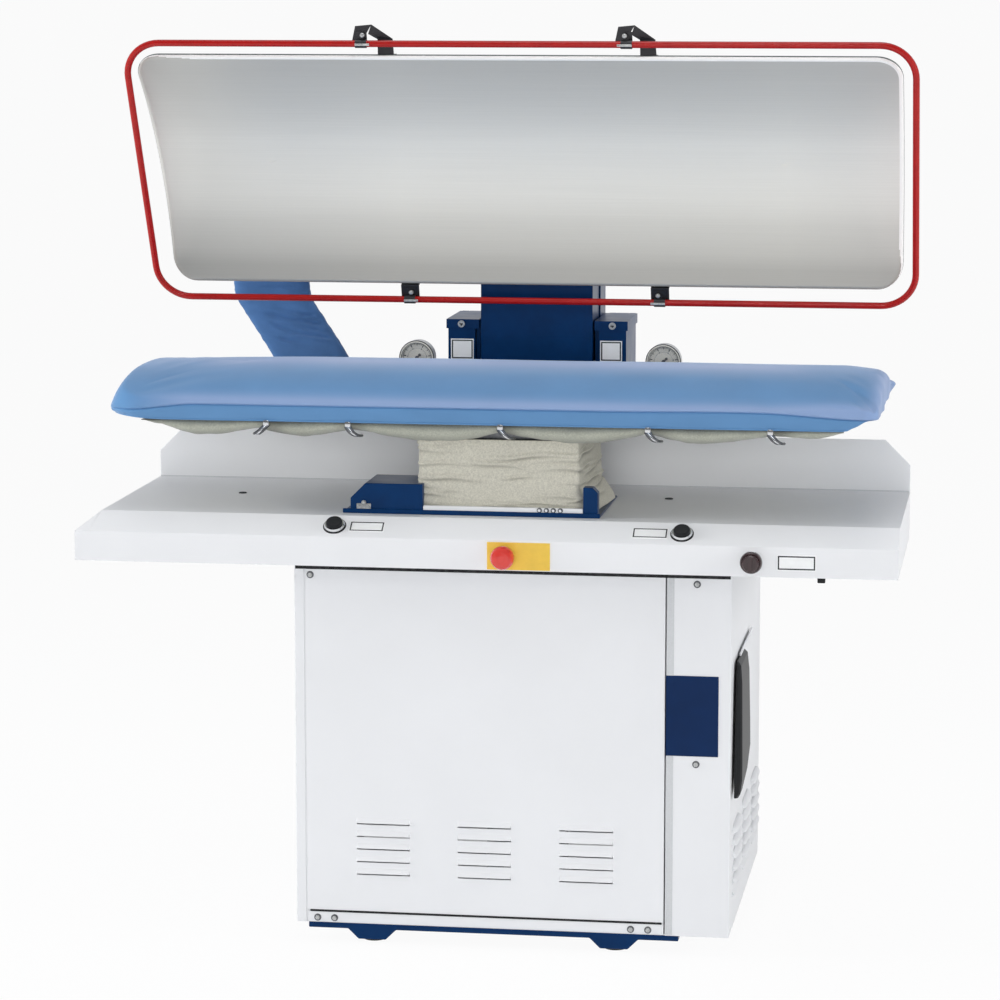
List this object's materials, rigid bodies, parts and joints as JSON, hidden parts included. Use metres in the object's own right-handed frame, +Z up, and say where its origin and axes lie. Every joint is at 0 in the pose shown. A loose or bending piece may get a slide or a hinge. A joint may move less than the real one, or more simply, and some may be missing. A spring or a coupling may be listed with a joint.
{
  "type": "utility laundry press",
  "caption": "Floor-standing utility laundry press: a polished head with a safety bar swings down onto a padded buck over a cabinet table with hand controls.",
  "frame": {"origin": "on the floor under the middle of the machine's outline", "axes": "+X to the operator's right, +Y from the operator to the rear, +Z up"},
  "size_m": [1.42, 0.782, 1.5927],
  "materials": {
    "white_enamel": "satin",
    "navy_paint": "gloss",
    "polished_face": "polished",
    "cast_aluminium": "as cast",
    "red_paint": "gloss",
    "black_paint": "satin",
    "black_plastic": "matte",
    "zinc_steel": "zinc plated",
    "dark_steel": "oiled",
    "chrome": "bright",
    "blue_cotton": "woven",
    "blue_sheath": "woven",
    "canvas": "woven",
    "felt": "felted",
    "yellow_plate": "satin",
    "red_plastic": "gloss",
    "pale_plastic": "satin",
    "brown_plastic": "gloss",
    "bronze": "plain",
    "rubber": "matte",
    "galvanised": "galvanised"
  },
  "bodies": {
    "cabinet": {"table_top": "white_enamel", "backsplash": "white_enamel", "front_door": "white_enamel", "cabinet_right_side": "white_enamel", "cabinet_left_side": "white_enamel", "cabinet_floor": "white_enamel", "cabinet_rear_panel": "white_enamel", "cabinet_top_frame": "white_enamel", "front_frame": "white_enamel", "control_strip": "white_enamel", "vent_cowl": "black_plastic", "panel_screws": "zinc_steel", "base_frame": "navy_paint", "foot_pads": "rubber", "control_bezels": "chrome", "estop_plate": "yellow_plate", "estop_collar": "pale_plastic", "saddle": "navy_paint", "pedestal": "dark_steel", "pedestal_canvas": "canvas", "buck_cover": "blue_cotton", "buck_padding": "felt", "buck_platen": "cast_aluminium", "under_canvas": "canvas", "cover_hooks": "zinc_steel", "cheek_plates": "navy_paint", "pivot_bushes": "bronze", "valve_boxes": "navy_paint", "column_rear_cover": "navy_paint", "press_cylinder": "cast_aluminium", "gauges": "zinc_steel", "hose_sheath": "blue_sheath", "fan_housing": "galvanised", "fan_motor": "dark_steel", "suction_duct": "galvanised", "steam_manifold": "dark_steel"},
    "head": {"head_platen": "polished_face", "steam_chamber": "cast_aluminium", "head_hood": "white_enamel", "head_arm": "navy_paint", "pivot_shaft": "dark_steel", "rear_bar_brackets": "black_paint", "rear_bar_clips": "chrome"},
    "guard": {"safety_bar": "red_paint", "front_bar_brackets": "black_paint", "front_bar_clips": "chrome"},
    "left_push": {"left_button": "black_plastic"},
    "right_push": {"right_button": "black_plastic"},
    "stop_plunger": {"estop_plunger": "black_plastic"},
    "stop_mushroom": {"estop_button": "red_plastic"},
    "selector": {"selector_knob": "brown_plastic"},
    "left_needle": {"left_gauge_needle": "black_paint"},
    "right_needle": {"right_gauge_needle": "black_paint"},
    "left_lid": {"left_box_lid": "navy_paint"},
    "left_lock": {"left_box_lock": "zinc_steel"},
    "right_lid": {"right_box_lid": "navy_paint"},
    "right_lock": {"right_box_lock": "zinc_steel"},
    "piston": {"piston_rod": "dark_steel"},
    "fan": {"fan_impeller": "galvanised"}
  },
  "joints": [
    {"name": "head_swing", "type": "hinge", "parent": "cabinet", "child": "head", "pos_m": [0.0175, 0.238, 1.0215], "axis": [1, 0, 0], "range_deg": [0, 70], "stiffness_Nm_per_rad": 160, "springref_deg": -114.59, "deforming": ["hose_sheath"]},
    {"name": "guard_tilt", "type": "hinge", "parent": "head", "child": "guard", "pos_m": [0.0175, 0.13148, 1.09341], "axis": [-1, 0, 0], "range_deg": [0, 2.5]},
    {"name": "left_button_press", "type": "slide", "parent": "cabinet", "child": "left_push", "axis": [0, 0.5463, -0.8376], "range_m": [0, 0.0036], "stiffness_N_per_m": 500, "springref_m": -0.002},
    {"name": "right_button_press", "type": "slide", "parent": "cabinet", "child": "right_push", "axis": [0, 0.5463, -0.8376], "range_m": [0, 0.0036], "stiffness_N_per_m": 500, "springref_m": -0.002},
    {"name": "stop_press", "type": "slide", "parent": "cabinet", "child": "stop_plunger", "axis": [0, 1, 0], "range_m": [0, 0.005]},
    {"name": "stop_twist", "type": "hinge", "parent": "stop_plunger", "child": "stop_mushroom", "pos_m": [0.0366, -0.372, 0.706], "axis": [0, 1, 0], "range_deg": [0, 45], "stiffness_Nm_per_rad": 0.05, "springref_deg": -11.46},
    {"name": "selector_turn", "type": "hinge", "parent": "cabinet", "child": "selector", "pos_m": [0.455, -0.362, 0.706], "axis": [0, 1, 0], "range_deg": [-45, 45]},
    {"name": "left_needle_sweep", "type": "hinge", "parent": "cabinet", "child": "left_needle", "pos_m": [-0.2045, 0.182, 0.9815], "axis": [0, 1, 0], "range_deg": [0, 270], "stiffness_Nm_per_rad": 0.0005, "springref_deg": -17.19},
    {"name": "right_needle_sweep", "type": "hinge", "parent": "cabinet", "child": "right_needle", "pos_m": [0.249, 0.182, 0.9815], "axis": [0, 1, 0], "range_deg": [0, 270], "stiffness_Nm_per_rad": 0.0005, "springref_deg": -17.19},
    {"name": "left_lid_lift", "type": "hinge", "parent": "cabinet", "child": "left_lid", "pos_m": [-0.121, 0.3405, 1.05], "axis": [-1, 0, 0], "range_deg": [0, 95]},
    {"name": "left_lock_turn", "type": "hinge", "parent": "left_lid", "child": "left_lock", "pos_m": [-0.121, 0.178, 1.0455], "axis": [0, 1, 0], "range_deg": [0, 90]},
    {"name": "right_lid_lift", "type": "hinge", "parent": "cabinet", "child": "right_lid", "pos_m": [0.156, 0.3405, 1.05], "axis": [-1, 0, 0], "range_deg": [0, 95]},
    {"name": "right_lock_turn", "type": "hinge", "parent": "right_lid", "child": "right_lock", "pos_m": [0.156, 0.178, 1.0455], "axis": [0, 1, 0], "range_deg": [0, 90]},
    {"name": "piston_travel", "type": "slide", "parent": "cabinet", "child": "piston", "axis": [0, 0, 1], "range_m": [0, 0.0865]},
    {"name": "fan_spin", "type": "hinge", "parent": "cabinet", "child": "fan", "pos_m": [0.024, -0.012, 0.381], "axis": [0, 1, 0], "continuous": true}
  ],
  "couplings": [
    {"joint": "piston_travel", "follows": "head_swing", "m_per_rad": 0.070422}
  ]
}
